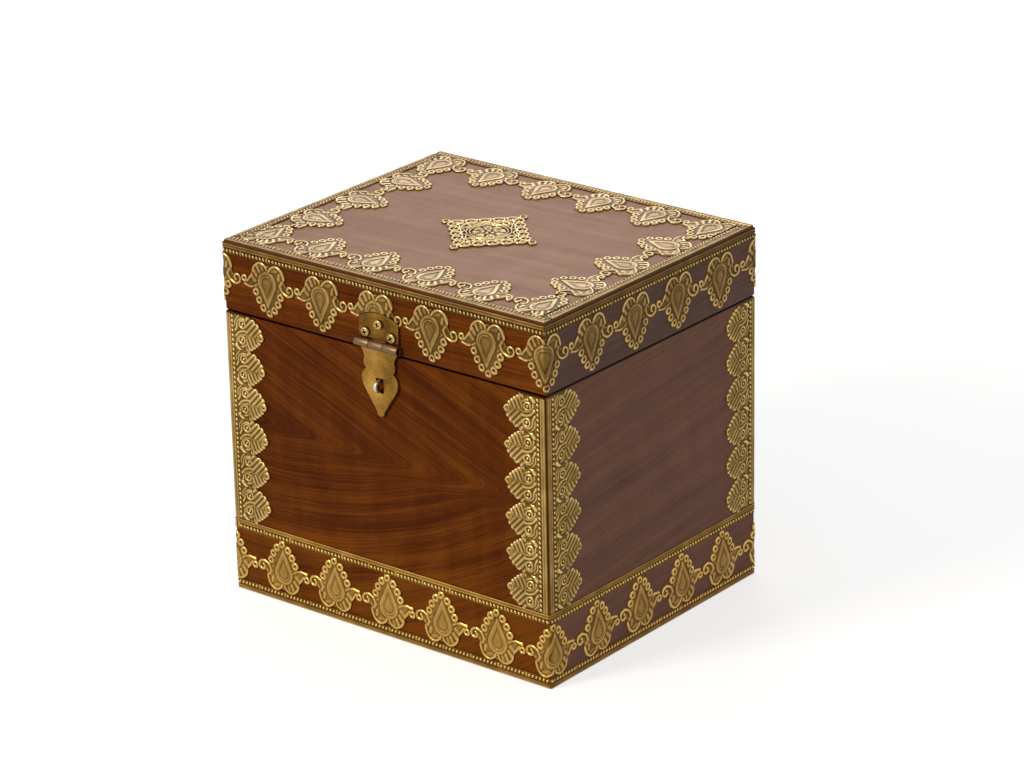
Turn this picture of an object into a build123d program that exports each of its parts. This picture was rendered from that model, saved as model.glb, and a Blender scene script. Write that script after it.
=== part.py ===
from build123d import *

import os
from math import ceil, cos, floor, radians, sin

# A small wooden chest with a hinged lid, stamped brass trim and a hasp.
# Millimetres. +Z is up and the front faces -Y. The origin is the middle of the
# foot, on the surface that the chest stands on.

# ---------------------------------------------------------------- driving sizes

# Wooden chest and lid
width = 204.0  # over the walls, left to right
depth = 170.0  # over the walls, front to back
body_height = 152.5
lid_height = 36.6
lid_gap = 0.3  # between the two rims when shut
wall = 9.0
edge_chamfer = 0.7  # on the boards' long outer edges
bottom_board_thickness = 6.0
bottom_rebate = 4.5
top_board_thickness = 5.0

# Pendant trim: sheet brass with a plain border, a bead row and pendants
sheet = 0.7
bead_rise = 0.4  # bead row above the sheet
border = 2.3
bead_row = 3.1
pendant_pitch = 34.8
pendant_reach = 33.0  # outer edge of the border to a pendant's tip
heart_width = 22.8
heart_cleft = 1.3  # notch between the lobes, measured from the bead row
link_level = 16.2  # scroll links between pendants, from the outer edge
link_width = 2.6
tip_width = 2.6
hip_width = 20.4  # where the pendant starts to narrow, under its links
flank_bulge = 0.9  # of the narrowing flanks
drop_width = 9.4  # teardrop boss
drop_length = 14.5
drop_gap = 1.8  # cleft to the top of the boss
drop_rise = 0.5
lobe_sides = 3  # flats on a round lobe, few because there are so many
drop_sides = 2
trim_fit = 0.3  # between one brass piece and the next

# Where the pendant strips lie
base_trim_lift = 0.3  # clear of the surface underneath
base_strip_gap = 0.8  # pendant tips to the bead strip above them
lid_trim_margin = 1.4  # below the lid's top edge
top_trim_margin = 1.0  # inside the lid's top edge
top_pendant_inset = 15.0  # corner pendants from the lid's edge

# Leaf trim beside the corners
leaf_border = 2.0
leaf_bead_row = 2.3
leaf_pitch = 18.7
leaf_reach = 24.5
leaf_root = 2.6  # valley between two leaves, from the bead row
leaf_width = 17.4
leaf_cheek = 5.6  # widest place, from the bead row
leaf_bulge = 0.9
leaf_tip_width = 3.0
corner_margin = 0.9
rim_margin = 1.0  # top of the leaf trim below the rim

# Medallion
medallion_side = 39.0
medallion_thickness = 1.2
medallion_loops = 5  # along each side
medallion_loop_rise = 0.9
medallion_ring_radius = 11.4
medallion_ring_width = 1.6
medallion_rise = 0.6
medallion_petals = 8
petal_radius = 3.4
petal_distance = 4.8  # from the middle
piercing_radius = 1.7
piercing_gap = 1.5  # ring to the piercings round it
medallion_eye_radius = 2.3
medallion_pin_radius = 0.8
medallion_pin_length = 3.5
medallion_pin_head = 1.3
medallion_pin_head_height = 0.5
small_round_sides = 8  # flats on a small round, to keep facets down
large_round_sides = 16

# Hasp
hasp_length = 27.0  # barrel
hasp_sheet = 1.4
hasp_barrel_radius = 2.3
hasp_pin_radius = 1.2
hasp_pin_recess = 0.6  # pin ends inside the barrel
hasp_pin_height = 4.1  # pin line above the body's rim
plate_width = 25.0
plate_side_height = 13.0
plate_height = 16.3
strap_drop = 37.4  # pin line to the strap's tip
strap_top_width = 24.0
strap_neck_width = 18.8
strap_neck_drop = 7.9
strap_notch_width = 16.8
strap_notch_drop = 13.6
strap_swell_width = 22.6
strap_swell_drop = 18.7
strap_cheek_width = 19.8
strap_cheek_drop = 23.6
strap_tip_width = 4.4
slot_drop = 21.2  # pin line to the slot's middle
slot_width = 4.9
slot_height = 7.6
staple_height = 6.8
staple_out = 6.0  # loop in front of the wall
staple_bar = 1.8
staple_depth = 7.0  # legs in the wood
screw_head_radius = 2.5
screw_head_height = 1.4
screw_shank_radius = 1.25
screw_length = 7.0  # below the head
screw_recess = 0.7
screw_spread = 8.3
screw_rise = 5.3  # lower pair above the pin line
top_screw_rise = 10.6

# Back hinges
hinge_length = 38.0
hinge_leaf_height = 12.0
hinge_sheet = 1.2
hinge_barrel_radius = 2.2
hinge_pin_radius = 1.1
hinge_inset = 52.0  # chest's end to the middle of a hinge
hinge_screw_radius = 2.0
hinge_screw_height = 0.6
hinge_screw_inset = 6.0  # from the leaf's end
hinge_screw_rise = 7.4  # from the pin line

# Working clearances
pin_clearance = 0.05
knuckle_gap = 0.3
wall_clearance = 0.3  # moving brass to the wood behind it
wood_fit = 0.05  # a metal leg or shank in its hole

# ---------------------------------------------------------------- derived sizes

lid_base = body_height + lid_gap
lid_top = lid_base + lid_height
rail_top = lid_top - top_board_thickness
rim_line = body_height + lid_gap / 2
band = border + bead_row
leaf_band = leaf_border + leaf_bead_row
strip_base = base_trim_lift + pendant_reach + base_strip_gap
leaf_base = strip_base + band + trim_fit
leaf_top = body_height - rim_margin
hasp_line = body_height + hasp_pin_height
hasp_stand = hasp_barrel_radius + wall_clearance
hinge_stand = hinge_barrel_radius + wall_clearance

# Each wall: its length, the chest's size across it, and the way that it runs,
# left to right seen from outside
sides = {
    "front": (width, depth, (1, 0, 0)),
    "right": (depth, width, (0, 1, 0)),
    "back": (width, depth, (-1, 0, 0)),
    "left": (depth, width, (0, -1, 0)),
}
# A strip that runs round the chest starts and ends at the back left corner.
# This is the length run, from the front left corner, at each wall's left end.
run_start = {"left": -depth, "front": 0, "right": width, "back": width + depth}

os.makedirs("parts", exist_ok=True)


def finish(piece, name):
    """Labels a finished piece and writes its file."""
    piece.part.label = name
    export_step(piece.part, f"parts/{name}.step")


def outward(side):
    return Vector(*sides[side][2]).cross(Vector(0, 0, 1))


def face_plane(side, z, lift=0.0, hang=False):
    """A plane on a wall's outer face: x along it, y up or, hanging, down, z outward."""
    _, across, run = sides[side]
    out = outward(side)
    along = Vector(*run) * (-1 if hang else 1)
    return Plane(origin=out * (across / 2 + lift) + Vector(0, 0, z), x_dir=along, z_dir=out)


# ---------------------------------------------------------------- wooden boards


def mitre_wedge(side):
    """The plan of one board of a mitred frame, drawn a little past its outer face."""
    length, across, _ = sides[side]
    half, out, spare = length / 2, across / 2, wall
    Polygon(
        (-half - spare, -out - spare),
        (half + spare, -out - spare),
        (half - wall, -out + wall),
        (-half + wall, -out + wall),
        align=None,
    )


def frame_board(frame, side):
    """One mitred board cut from a frame."""
    with BuildPart() as board:
        add(frame.part)
        with BuildSketch(Plane(origin=(0, 0, 0), x_dir=sides[side][2], z_dir=(0, 0, 1))):
            mitre_wedge(side)
        extrude(amount=lid_top, mode=Mode.INTERSECT)
    return board


with BuildSketch() as chest_plan:
    Rectangle(width, depth)
    chamfer(chest_plan.vertices(), edge_chamfer)

with BuildPart() as body_frame:
    with BuildSketch():
        add(chest_plan.sketch)
        Rectangle(width - 2 * wall, depth - 2 * wall, mode=Mode.SUBTRACT)
    extrude(amount=body_height)
    chamfer(body_frame.faces().sort_by(Axis.Z)[-1].outer_wire().edges(), edge_chamfer)
    with BuildSketch():
        ledge = wall - bottom_rebate
        Rectangle(width - 2 * ledge, depth - 2 * ledge)
    extrude(amount=bottom_board_thickness, mode=Mode.SUBTRACT)

for side in sides:
    with BuildPart() as panel:
        add(frame_board(body_frame, side).part)
        if side == "front":
            leg_offset = (staple_height - staple_bar) / 2
            leg_hole = staple_bar + 2 * wood_fit
            with BuildSketch(face_plane("front", hasp_line - slot_drop)):
                with Locations((0, leg_offset), (0, -leg_offset)):
                    Rectangle(leg_hole, leg_hole)
            extrude(amount=-(staple_depth + wood_fit), mode=Mode.SUBTRACT)
    finish(panel, f"{side}_panel")

with BuildPart() as bottom_board:
    with BuildSketch():
        ledge = wall - bottom_rebate
        Rectangle(width - 2 * ledge, depth - 2 * ledge)
    extrude(amount=bottom_board_thickness)
finish(bottom_board, "bottom_board")

with BuildPart() as lid_frame:
    with BuildSketch(Plane.XY.offset(lid_base)):
        add(chest_plan.sketch)
        Rectangle(width - 2 * wall, depth - 2 * wall, mode=Mode.SUBTRACT)
    extrude(amount=lid_height - top_board_thickness)
    chamfer(lid_frame.faces().sort_by(Axis.Z)[0].outer_wire().edges(), edge_chamfer)

with BuildPart() as lid_top_board:
    with BuildSketch(Plane.XY.offset(rail_top)):
        add(chest_plan.sketch)
    extrude(amount=top_board_thickness)
    chamfer(lid_top_board.faces().sort_by(Axis.Z)[-1].outer_wire().edges(), edge_chamfer)
    with BuildSketch(Plane.XY.offset(lid_top)):
        with PolarLocations(medallion_side / 2**0.5, 4):
            RegularPolygon(medallion_pin_radius + wood_fit, small_round_sides)
    extrude(amount=-(medallion_pin_length - medallion_thickness + wood_fit), mode=Mode.SUBTRACT)
finish(lid_top_board, "lid_top_board")

screw_places = [(-screw_spread, screw_rise), (screw_spread, screw_rise), (0, top_screw_rise)]

for side in sides:
    with BuildPart() as rail:
        add(frame_board(lid_frame, side).part)
        if side == "front":
            with BuildSketch(face_plane("front", hasp_line)):
                with Locations(*screw_places):
                    RegularPolygon(screw_shank_radius + wood_fit, small_round_sides)
            extrude(amount=-(screw_length - hasp_sheet + wood_fit), mode=Mode.SUBTRACT)
    finish(rail, f"lid_{side}_rail")

# ---------------------------------------------------------------- stamped motifs
# Each is drawn with its strip's outer edge on x, pointing along +y.


def scallops(start, end, count, rise):
    """Blunt scallops in a row along a line, each raised in its middle to the right."""
    low, high = Vector(*start), Vector(*end)
    step = (high - low) / count
    lift = step.normalized().cross(Vector(0, 0, 1)) * rise
    points = [low]
    for i in range(count):
        points += [low + step * (i + 0.5) + lift, low + step * (i + 1)]
    return points


def few_sided_arc(centre, radius, first, last, sides_used):
    """Points on a round lobe, a few to keep the facets of the many copies down."""
    step = (last - first) / sides_used
    angles = [radians(first + i * step) for i in range(sides_used + 1)]
    return [(centre[0] + radius * cos(a), centre[1] + radius * sin(a)) for a in angles]


with BuildSketch() as pendant:
    with BuildLine() as outline:
        half_pitch = pendant_pitch / 2
        lobe_radius = heart_width / 4
        lobe_centre = (heart_width / 4, band + lobe_radius - trim_fit)
        cleft = (0, band + heart_cleft)
        hip = (hip_width / 2, link_level + link_width)
        point = (tip_width / 2, pendant_reach - tip_width / 2)
        Polyline(
            cleft,
            *few_sided_arc(lobe_centre, lobe_radius, -130, 20, lobe_sides),
            (half_pitch, link_level - link_width / 2),
            (half_pitch, link_level + link_width / 2),
            *scallops(hip, point, 1, -flank_bulge),
            (0, pendant_reach),
        )
        mirror(outline.line, about=Plane.YZ)
    make_face()

with BuildSketch() as teardrop:
    with BuildLine() as outline:
        drop_radius = drop_width / 2
        drop_top = band + heart_cleft + drop_gap
        drop_centre = (0, drop_top + drop_radius)
        shoulders = few_sided_arc(drop_centre, drop_radius, 20, -200, drop_sides + 1)
        Polyline(*shoulders, (0, drop_top + drop_length), close=True)
    make_face()

with BuildSketch() as leaf:
    with BuildLine() as outline:
        half_pitch = leaf_pitch / 2
        cheek = (leaf_width / 2, leaf_band + leaf_cheek)
        point = (leaf_tip_width / 2, leaf_reach - leaf_tip_width / 2)
        Polyline(
            (0, leaf_band / 2),
            (half_pitch, leaf_band / 2),
            (half_pitch, leaf_band + leaf_root),
            *scallops(cheek, point, 1, -leaf_bulge),
            (0, leaf_reach),
        )
        mirror(outline.line, about=Plane.YZ)
    make_face()


def strip_band(length, low, high):
    """A straight band of a strip, between two distances from its outer edge."""
    with Locations((0, (low + high) / 2)):
        Rectangle(length, high - low)


def on_drawing(motif, places):
    """Copies of a motif at places along the strip."""
    with Locations(*[(x, 0) for x in places]):
        add(motif.sketch)


# ---------------------------------------------------------------- strips round the chest


def places_on(side, first_centre):
    """Pendant centres on one wall of a strip that runs round the chest."""
    length = sides[side][0]
    start = run_start[side]
    spare = heart_width / 2 - sheet
    low = ceil((start - spare - first_centre) / pendant_pitch)
    high = floor((start + length + spare - first_centre) / pendant_pitch)
    return [
        first_centre + i * pendant_pitch - start - length / 2 for i in range(low, high + 1)
    ]


def drops_on(side, places):
    """The places whose teardrop lies wholly on the wall."""
    clear = sides[side][0] / 2 - drop_width / 2 - sheet
    return [x for x in places if abs(x) < clear]


def pendant_strip(edge, hang, first_centre):
    """A pendant strip run round all four walls, joined round the corners."""
    turn = -1 if hang else 1
    with BuildPart() as strip:
        for side, (length, _, _) in sides.items():
            face = face_plane(side, edge, hang=hang)
            places = [turn * x for x in places_on(side, first_centre)]
            with BuildSketch(face):
                on_drawing(pendant, places)
                strip_band(length + 4 * sheet, 0, band)
                with Locations((0, pendant_reach / 2)):
                    Rectangle(length + 2 * sheet, pendant_reach, mode=Mode.INTERSECT)
            extrude(amount=sheet)
            with BuildSketch(face.offset(sheet)):
                strip_band(length + 2 * (sheet + bead_rise), border, band)
            extrude(amount=bead_rise)
            with BuildSketch(face.offset(sheet)):
                on_drawing(teardrop, drops_on(side, places))
            extrude(amount=drop_rise)
    return strip


# The base strip has a pendant in the middle of the front.
base_trim = pendant_strip(base_trim_lift, False, width / 2)
finish(base_trim, "base_trim")

with BuildPart() as base_bead_strip:
    for side, (length, _, _) in sides.items():
        with BuildSketch(face_plane(side, strip_base)):
            strip_band(length + 2 * sheet, 0, band)
        extrude(amount=sheet)
        with BuildSketch(face_plane(side, strip_base, lift=sheet)):
            strip_band(length + 2 * (sheet + bead_rise), 0, bead_row)
        extrude(amount=bead_rise)
finish(base_bead_strip, "base_bead_strip")


# The hasp plate above its pin line, with an arched top
with BuildSketch() as plate_face:
    with BuildLine():
        half_plate = plate_width / 2
        plate_foot = hasp_barrel_radius + knuckle_gap
        Polyline(
            (-half_plate, plate_side_height),
            (-half_plate, plate_foot),
            (half_plate, plate_foot),
            (half_plate, plate_side_height),
        )
        ThreePointArc(
            (half_plate, plate_side_height), (0, plate_height), (-half_plate, plate_side_height)
        )
    make_face()

hinge_places = [-(width / 2 - hinge_inset), width / 2 - hinge_inset]

# The lid's strip has one folded round the front right corner. It is cut away
# under the hasp plate and its barrel, and round the hinge leaves.
with BuildPart() as lid_side_trim:
    add(pendant_strip(lid_top - lid_trim_margin, True, width).part)
    with BuildSketch(face_plane("front", hasp_line)):
        add(plate_face.sketch)
        barrel_high = hasp_barrel_radius + knuckle_gap
        skirt = lid_base - hasp_line
        with Locations((0, (barrel_high + skirt) / 2)):
            Rectangle(hasp_length, barrel_high - skirt)
        offset(amount=trim_fit)
    extrude(amount=hasp_stand, mode=Mode.SUBTRACT)
    with BuildSketch(face_plane("back", rim_line)):
        with Locations(*[(x, hinge_leaf_height / 2) for x in hinge_places]):
            Rectangle(hinge_length + 2 * trim_fit, hinge_leaf_height + 2 * trim_fit)
    extrude(amount=hinge_stand, mode=Mode.SUBTRACT)
finish(lid_side_trim, "lid_side_trim")

# ---------------------------------------------------------------- corner trims

leaf_span = leaf_top - leaf_base
leaf_count = max(1, round(leaf_span / leaf_pitch))
leaf_step = leaf_span / leaf_count
leaf_places = [(i - (leaf_count - 1) / 2) * leaf_step for i in range(leaf_count)]


def corner_trim(side, end):
    """A leaf strip beside one end of a wall, its leaves pointing in along the wall."""
    edge = end * (sides[side][0] / 2 - corner_margin)
    face = face_plane(side, (leaf_base + leaf_top) / 2)
    strip = Plane(
        origin=face.origin + face.x_dir * edge, x_dir=face.y_dir * end, z_dir=face.z_dir
    )
    with BuildPart() as trim:
        with BuildSketch(strip):
            on_drawing(leaf, leaf_places)
            strip_band(leaf_span, 0, leaf_band)
            with Locations((0, leaf_reach / 2)):
                Rectangle(leaf_span, leaf_reach, mode=Mode.INTERSECT)
        extrude(amount=sheet)
        with BuildSketch(strip.offset(sheet)):
            strip_band(leaf_span, leaf_border, leaf_band)
        extrude(amount=bead_rise)
    return trim


neighbour = {"front": ("left", "right"), "right": ("front", "back")}
neighbour |= {"back": ("right", "left"), "left": ("back", "front")}
for side, (first, second) in neighbour.items():
    finish(corner_trim(side, -1), f"corner_trim_{side}_{first}")
    finish(corner_trim(side, 1), f"corner_trim_{side}_{second}")

# ---------------------------------------------------------------- lid top trims


def top_pendant_places(side):
    """Pendants of an even grid whose corner ones belong to the front and back strips."""
    length = sides[side][0] - 2 * top_pendant_inset
    count = max(2, round(length / pendant_pitch))
    step = length / count
    inner = side in ("left", "right")
    steps = range(1, count) if inner else range(count + 1)
    return [(i - count / 2) * step for i in steps]


def top_trim(side):
    """A pendant strip along one edge of the lid's top, pointing inward."""
    length, across, run = sides[side]
    edge = outward(side) * (across / 2 - top_trim_margin) + Vector(0, 0, lid_top)
    plane = Plane(origin=edge, x_dir=run, z_dir=(0, 0, 1))
    full = length - 2 * top_trim_margin
    between = full - 2 * (band + trim_fit)
    if side in ("left", "right"):
        band_length = between
        clear = full - 2 * (pendant_reach + trim_fit)
    else:
        band_length = full
        clear = between
    places = top_pendant_places(side)
    with BuildPart() as trim:
        with BuildSketch(plane):
            on_drawing(pendant, places)
            with Locations((0, pendant_reach / 2)):
                Rectangle(clear, pendant_reach, mode=Mode.INTERSECT)
            strip_band(band_length, 0, band)
        extrude(amount=sheet)
        with BuildSketch(plane.offset(sheet)):
            strip_band(band_length, border, band)
        extrude(amount=bead_rise)
        with BuildSketch(plane.offset(sheet)):
            on_drawing(teardrop, places)
        extrude(amount=drop_rise)
    return trim


for side in sides:
    finish(top_trim(side), f"lid_top_trim_{side}")

# ---------------------------------------------------------------- medallion

medallion_plane = Plane(origin=(0, 0, lid_top), x_dir=(1, 1, 0), z_dir=(0, 0, 1))
eye_distance = medallion_side / 2**0.5

with BuildPart() as medallion:
    with BuildSketch(medallion_plane):
        half = medallion_side / 2
        corners = [(half, -half), (half, half), (-half, half), (-half, -half)]
        with BuildLine():
            for i, corner in enumerate(corners):
                following = corners[(i + 1) % len(corners)]
                Polyline(*scallops(corner, following, medallion_loops, medallion_loop_rise))
        make_face()
        with Locations(*corners):
            RegularPolygon(medallion_eye_radius, small_round_sides)
        with Locations(*corners):
            RegularPolygon(
                medallion_pin_radius + wood_fit, small_round_sides, mode=Mode.SUBTRACT
            )
        piercings = medallion_ring_radius + piercing_gap + piercing_radius
        with PolarLocations(piercings, medallion_petals):
            RegularPolygon(piercing_radius, 4, mode=Mode.SUBTRACT)
    extrude(amount=medallion_thickness)
    with BuildSketch(medallion_plane.offset(medallion_thickness)):
        RegularPolygon(medallion_ring_radius, large_round_sides)
        inner_radius = medallion_ring_radius - medallion_ring_width
        RegularPolygon(inner_radius, large_round_sides, mode=Mode.SUBTRACT)
        with PolarLocations(petal_distance, medallion_petals):
            RegularPolygon(petal_radius, 4)
    extrude(amount=medallion_rise)
finish(medallion, "medallion")

with BuildPart() as medallion_pins:
    with BuildSketch(Plane.XY.offset(lid_top + medallion_thickness)):
        with PolarLocations(eye_distance, 4):
            RegularPolygon(medallion_pin_radius, small_round_sides)
    extrude(amount=-medallion_pin_length)
    with BuildSketch(Plane.XY.offset(lid_top + medallion_thickness)):
        with PolarLocations(eye_distance, 4):
            RegularPolygon(medallion_pin_head, small_round_sides)
    extrude(amount=medallion_pin_head_height)
finish(medallion_pins, "medallion_pins")

# ---------------------------------------------------------------- pinned leaves


def knuckle_spans(length):
    """Three equal knuckles along a pin: the outer two, then the middle one."""
    third = length / 3
    inner = (third - knuckle_gap) / 2
    outer = inner + knuckle_gap
    return [(-length / 2, -outer), (outer, length / 2)], [(-inner, inner)]


def across_pin(plane, x):
    """A plane square to the pin: x the leaf's way, y outward, at a distance along it."""
    return Plane(origin=plane.origin + plane.x_dir * x, x_dir=plane.y_dir, z_dir=plane.x_dir)


def knuckles(plane, spans, radius, stand, leaf_low, leaf_sheet):
    """Rolled knuckles with the neck that joins each to its leaf."""
    neck = radius + knuckle_gap
    with BuildPart() as rolled:
        for low, high in spans:
            with BuildSketch(across_pin(plane, low)):
                with Locations((0, stand)):
                    Circle(radius)
                with Locations((neck / 2, leaf_low + leaf_sheet / 2)):
                    Rectangle(neck, leaf_sheet)
            extrude(amount=high - low)
    return rolled


def pin_line(plane, length, stand, radius):
    """A round bar along the pin line: a pin, or the bore for one."""
    with BuildPart() as bar:
        with BuildSketch(across_pin(plane, -length / 2)):
            with Locations((0, stand)):
                Circle(radius)
        extrude(amount=length)
    return bar


# ---------------------------------------------------------------- hasp

hasp_outer, hasp_middle = knuckle_spans(hasp_length)
hasp_up = face_plane("front", hasp_line)
hasp_down = face_plane("front", hasp_line, hang=True)
hasp_bore = pin_line(hasp_up, hasp_length, hasp_stand, hasp_pin_radius + pin_clearance)

with BuildPart() as hasp_plate:
    with BuildSketch(hasp_up):
        add(plate_face.sketch)
        with Locations(*screw_places):
            hole = screw_shank_radius + wood_fit
            RegularPolygon(hole, small_round_sides, mode=Mode.SUBTRACT)
    extrude(amount=hasp_sheet)
    add(knuckles(hasp_up, hasp_middle, hasp_barrel_radius, hasp_stand, 0, hasp_sheet).part)
    add(hasp_bore.part, mode=Mode.SUBTRACT)
finish(hasp_plate, "hasp_plate")

with BuildPart() as hasp_strap:
    with BuildSketch(hasp_down.offset(wall_clearance)):
        with BuildLine() as outline:
            shoulder = (strap_top_width / 2, hasp_barrel_radius + knuckle_gap)
            neck = (strap_neck_width / 2, strap_neck_drop)
            notch = (strap_notch_width / 2, strap_notch_drop)
            swell = (strap_swell_width / 2, strap_swell_drop)
            cheek = (strap_cheek_width / 2, strap_cheek_drop)
            point = (strap_tip_width / 2, strap_drop - strap_tip_width / 2)
            Line((0, shoulder[1]), shoulder)
            SagittaArc(shoulder, neck, 0.5)
            SagittaArc(neck, notch, -1.0)
            SagittaArc(notch, swell, -0.9)
            SagittaArc(swell, cheek, -0.4)
            Line(cheek, point)
            RadiusArc(point, (0, strap_drop), -strap_tip_width / 2)
            mirror(outline.line, about=Plane.YZ)
        make_face()
        with Locations((0, slot_drop)):
            Rectangle(slot_width, slot_height, mode=Mode.SUBTRACT)
    extrude(amount=hasp_sheet)
    rolled = knuckles(
        hasp_down, hasp_outer, hasp_barrel_radius, hasp_stand, wall_clearance, hasp_sheet
    )
    add(rolled.part)
    add(hasp_bore.part, mode=Mode.SUBTRACT)
finish(hasp_strap, "hasp_strap")

hasp_pin = pin_line(hasp_up, hasp_length - 2 * hasp_pin_recess, hasp_stand, hasp_pin_radius)
finish(hasp_pin, "hasp_pin")

with BuildPart() as hasp_screws:
    head_seat = hasp_up.offset(hasp_sheet)
    with BuildSketch(head_seat):
        with Locations(*screw_places):
            RegularPolygon(screw_shank_radius, small_round_sides)
    extrude(amount=-screw_length)
    with BuildSketch(head_seat):
        with Locations(*screw_places):
            RegularPolygon(screw_head_radius, large_round_sides)
    extrude(amount=screw_head_height)
    with BuildSketch(head_seat.offset(screw_head_height)):
        with Locations(*screw_places):
            Rectangle(screw_head_radius * 1.1, screw_head_radius * 0.3)
            Rectangle(screw_head_radius * 0.3, screw_head_radius * 1.1)
    extrude(amount=-screw_recess, mode=Mode.SUBTRACT)
finish(hasp_screws, "hasp_screws")

with BuildPart() as hasp_staple:
    loop_radius = staple_height / 2
    eye_radius = loop_radius - staple_bar
    staple_plane = across_pin(face_plane("front", hasp_line - slot_drop), 0)
    with BuildSketch(staple_plane):
        for radius, mode in ((loop_radius, Mode.ADD), (eye_radius, Mode.SUBTRACT)):
            shank = staple_out - loop_radius + staple_depth
            with Locations((0, shank / 2 - staple_depth)):
                Rectangle(2 * radius, shank, mode=mode)
            with Locations((0, staple_out - loop_radius)):
                Circle(radius, mode=mode)
    extrude(amount=staple_bar / 2, both=True)
finish(hasp_staple, "hasp_staple")

# ---------------------------------------------------------------- back hinges

hinge_outer, hinge_middle = knuckle_spans(hinge_length)


def hinge_plane(x, hang):
    """The pin line of one hinge on the back wall, y the way that its leaf goes."""
    wall_plane = face_plane("back", rim_line, hang=hang)
    return Plane(
        origin=wall_plane.origin + Vector(x, 0, 0),
        x_dir=wall_plane.x_dir,
        z_dir=wall_plane.z_dir,
    )


def hinge_leaf(plane, spans):
    low = hinge_barrel_radius + knuckle_gap
    with BuildPart() as hinge_leaf_part:
        with BuildSketch(plane):
            strip_band(hinge_length, low, hinge_leaf_height)
        extrude(amount=hinge_sheet)
        add(knuckles(plane, spans, hinge_barrel_radius, hinge_stand, 0, hinge_sheet).part)
        bore = hinge_pin_radius + pin_clearance
        add(pin_line(plane, hinge_length, hinge_stand, bore).part, mode=Mode.SUBTRACT)
    return hinge_leaf_part


def hinge_screws(hang):
    """Round screw heads, two to a leaf."""
    spread = hinge_length / 2 - hinge_screw_inset
    with BuildPart() as screws:
        for x in hinge_places:
            with BuildSketch(hinge_plane(x, hang).offset(hinge_sheet)):
                with Locations((-spread, hinge_screw_rise), (spread, hinge_screw_rise)):
                    RegularPolygon(hinge_screw_radius, small_round_sides)
            extrude(amount=hinge_screw_height)
    return screws


for name, x in zip(("left", "right"), hinge_places):
    finish(hinge_leaf(hinge_plane(x, True), hinge_outer), f"hinge_body_leaf_{name}")
    finish(hinge_leaf(hinge_plane(x, False), hinge_middle), f"hinge_lid_leaf_{name}")
    hinge_pin = pin_line(hinge_plane(x, False), hinge_length, hinge_stand, hinge_pin_radius)
    finish(hinge_pin, f"hinge_pin_{name}")
finish(hinge_screws(True), "hinge_body_screws")
finish(hinge_screws(False), "hinge_lid_screws")
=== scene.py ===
import math

import bmesh
import bpy
import numpy as np
from mathutils import Matrix, Vector


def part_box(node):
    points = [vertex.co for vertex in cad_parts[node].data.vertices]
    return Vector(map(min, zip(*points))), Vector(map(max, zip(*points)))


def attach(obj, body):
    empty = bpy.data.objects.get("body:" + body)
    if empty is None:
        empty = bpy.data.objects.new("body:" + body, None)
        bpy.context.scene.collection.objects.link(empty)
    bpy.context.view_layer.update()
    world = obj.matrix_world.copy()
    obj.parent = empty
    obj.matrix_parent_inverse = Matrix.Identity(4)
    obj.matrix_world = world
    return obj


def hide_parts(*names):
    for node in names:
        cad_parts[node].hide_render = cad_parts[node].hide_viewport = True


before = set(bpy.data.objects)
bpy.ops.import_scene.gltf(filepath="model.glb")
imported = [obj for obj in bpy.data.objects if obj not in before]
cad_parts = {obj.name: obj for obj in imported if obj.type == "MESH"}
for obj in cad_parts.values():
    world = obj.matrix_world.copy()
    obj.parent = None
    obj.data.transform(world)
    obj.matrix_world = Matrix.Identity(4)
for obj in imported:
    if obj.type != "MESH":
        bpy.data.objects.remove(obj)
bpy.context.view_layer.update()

# A small hardwood chest. Its walls and lid are dressed with stamped brass strip, and a brass hasp
# closes it over a steel staple. Sizes here are in millimetres and places in the frame's own axes.
MM = 0.001


def corners(name):
    """A node's lowest and highest corners, in millimetres."""
    low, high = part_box(name)
    return np.array(low) / MM, np.array(high) / MM


# ---- sizes

panel_low, panel_high = corners("front_panel")
half_width = panel_high[0]
half_depth = -panel_low[1]
rim_height = panel_high[2]
lid_base = corners("lid_front_rail")[0][2]
lid_top = corners("lid_top_board")[1][2]

# How the strips lie on the wood
lid_margin = 0.8  # bare wood above the strip round the lid
top_margin = 0.5  # bare wood outside the strips on the lid's top
corner_margin = 0.4  # bare wood between a leaf strip and the chest's corner
cover_gap = 0.3  # from a strip to the plate or the hinge leaf that covers it
fold = 1.0  # how tightly a strip is folded round a corner

# Strip with pendants, measured from its outer edge
border = 2.3
bead_row = 3.1
band = border + bead_row
pendant_pitch = 34.8
pendant_reach = 33.0
pendant_stretch = 1.035  # the strip is pulled a little longer as it is laid
bead_pitch = 2.25
bead_size = (2.05, 1.55, 0.72)  # across the strip, along it, and high
bead_lean = 0.22  # along the strip, for each millimetre across it
tie_size = (2.7, 1.8, 0.4)
beads_in_run = 7
run_pitch = pendant_pitch / 2
pendant_cells = 92  # across one pitch
pendant_rows = 73
pendant_step = pendant_pitch / pendant_cells

# Heights over the wood that the strips share
sheet_rise = 0.45
bead_floor = 0.4
most_rise = 1.2

# Leaf strip beside the corners
leaf_border = 2.9
leaf_bead_row = 2.2
leaf_band = leaf_border + leaf_bead_row
leaf_count = 6
leaf_reach = 24.5
leaf_bead_pitch = 2.55
leaf_bead_size = (1.7, 1.9, 0.68)
leaf_bead_lean = 0.3
leaf_cells = 46
leaf_rows = 52

# Medallion
medallion_reach = 22.4
medallion_lines = 129
medallion_ring = 11.4
medallion_rise = 1.75


# ---- colours, nodes and pieces


def paint(code):
    """An sRGB hex colour as the linear colour that a socket takes."""
    parts = [int(code[i : i + 2], 16) / 255 for i in (1, 3, 5)]
    linear = [p / 12.92 if p <= 0.04045 else ((p + 0.055) / 1.055) ** 2.4 for p in parts]
    return (*linear, 1.0)


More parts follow.
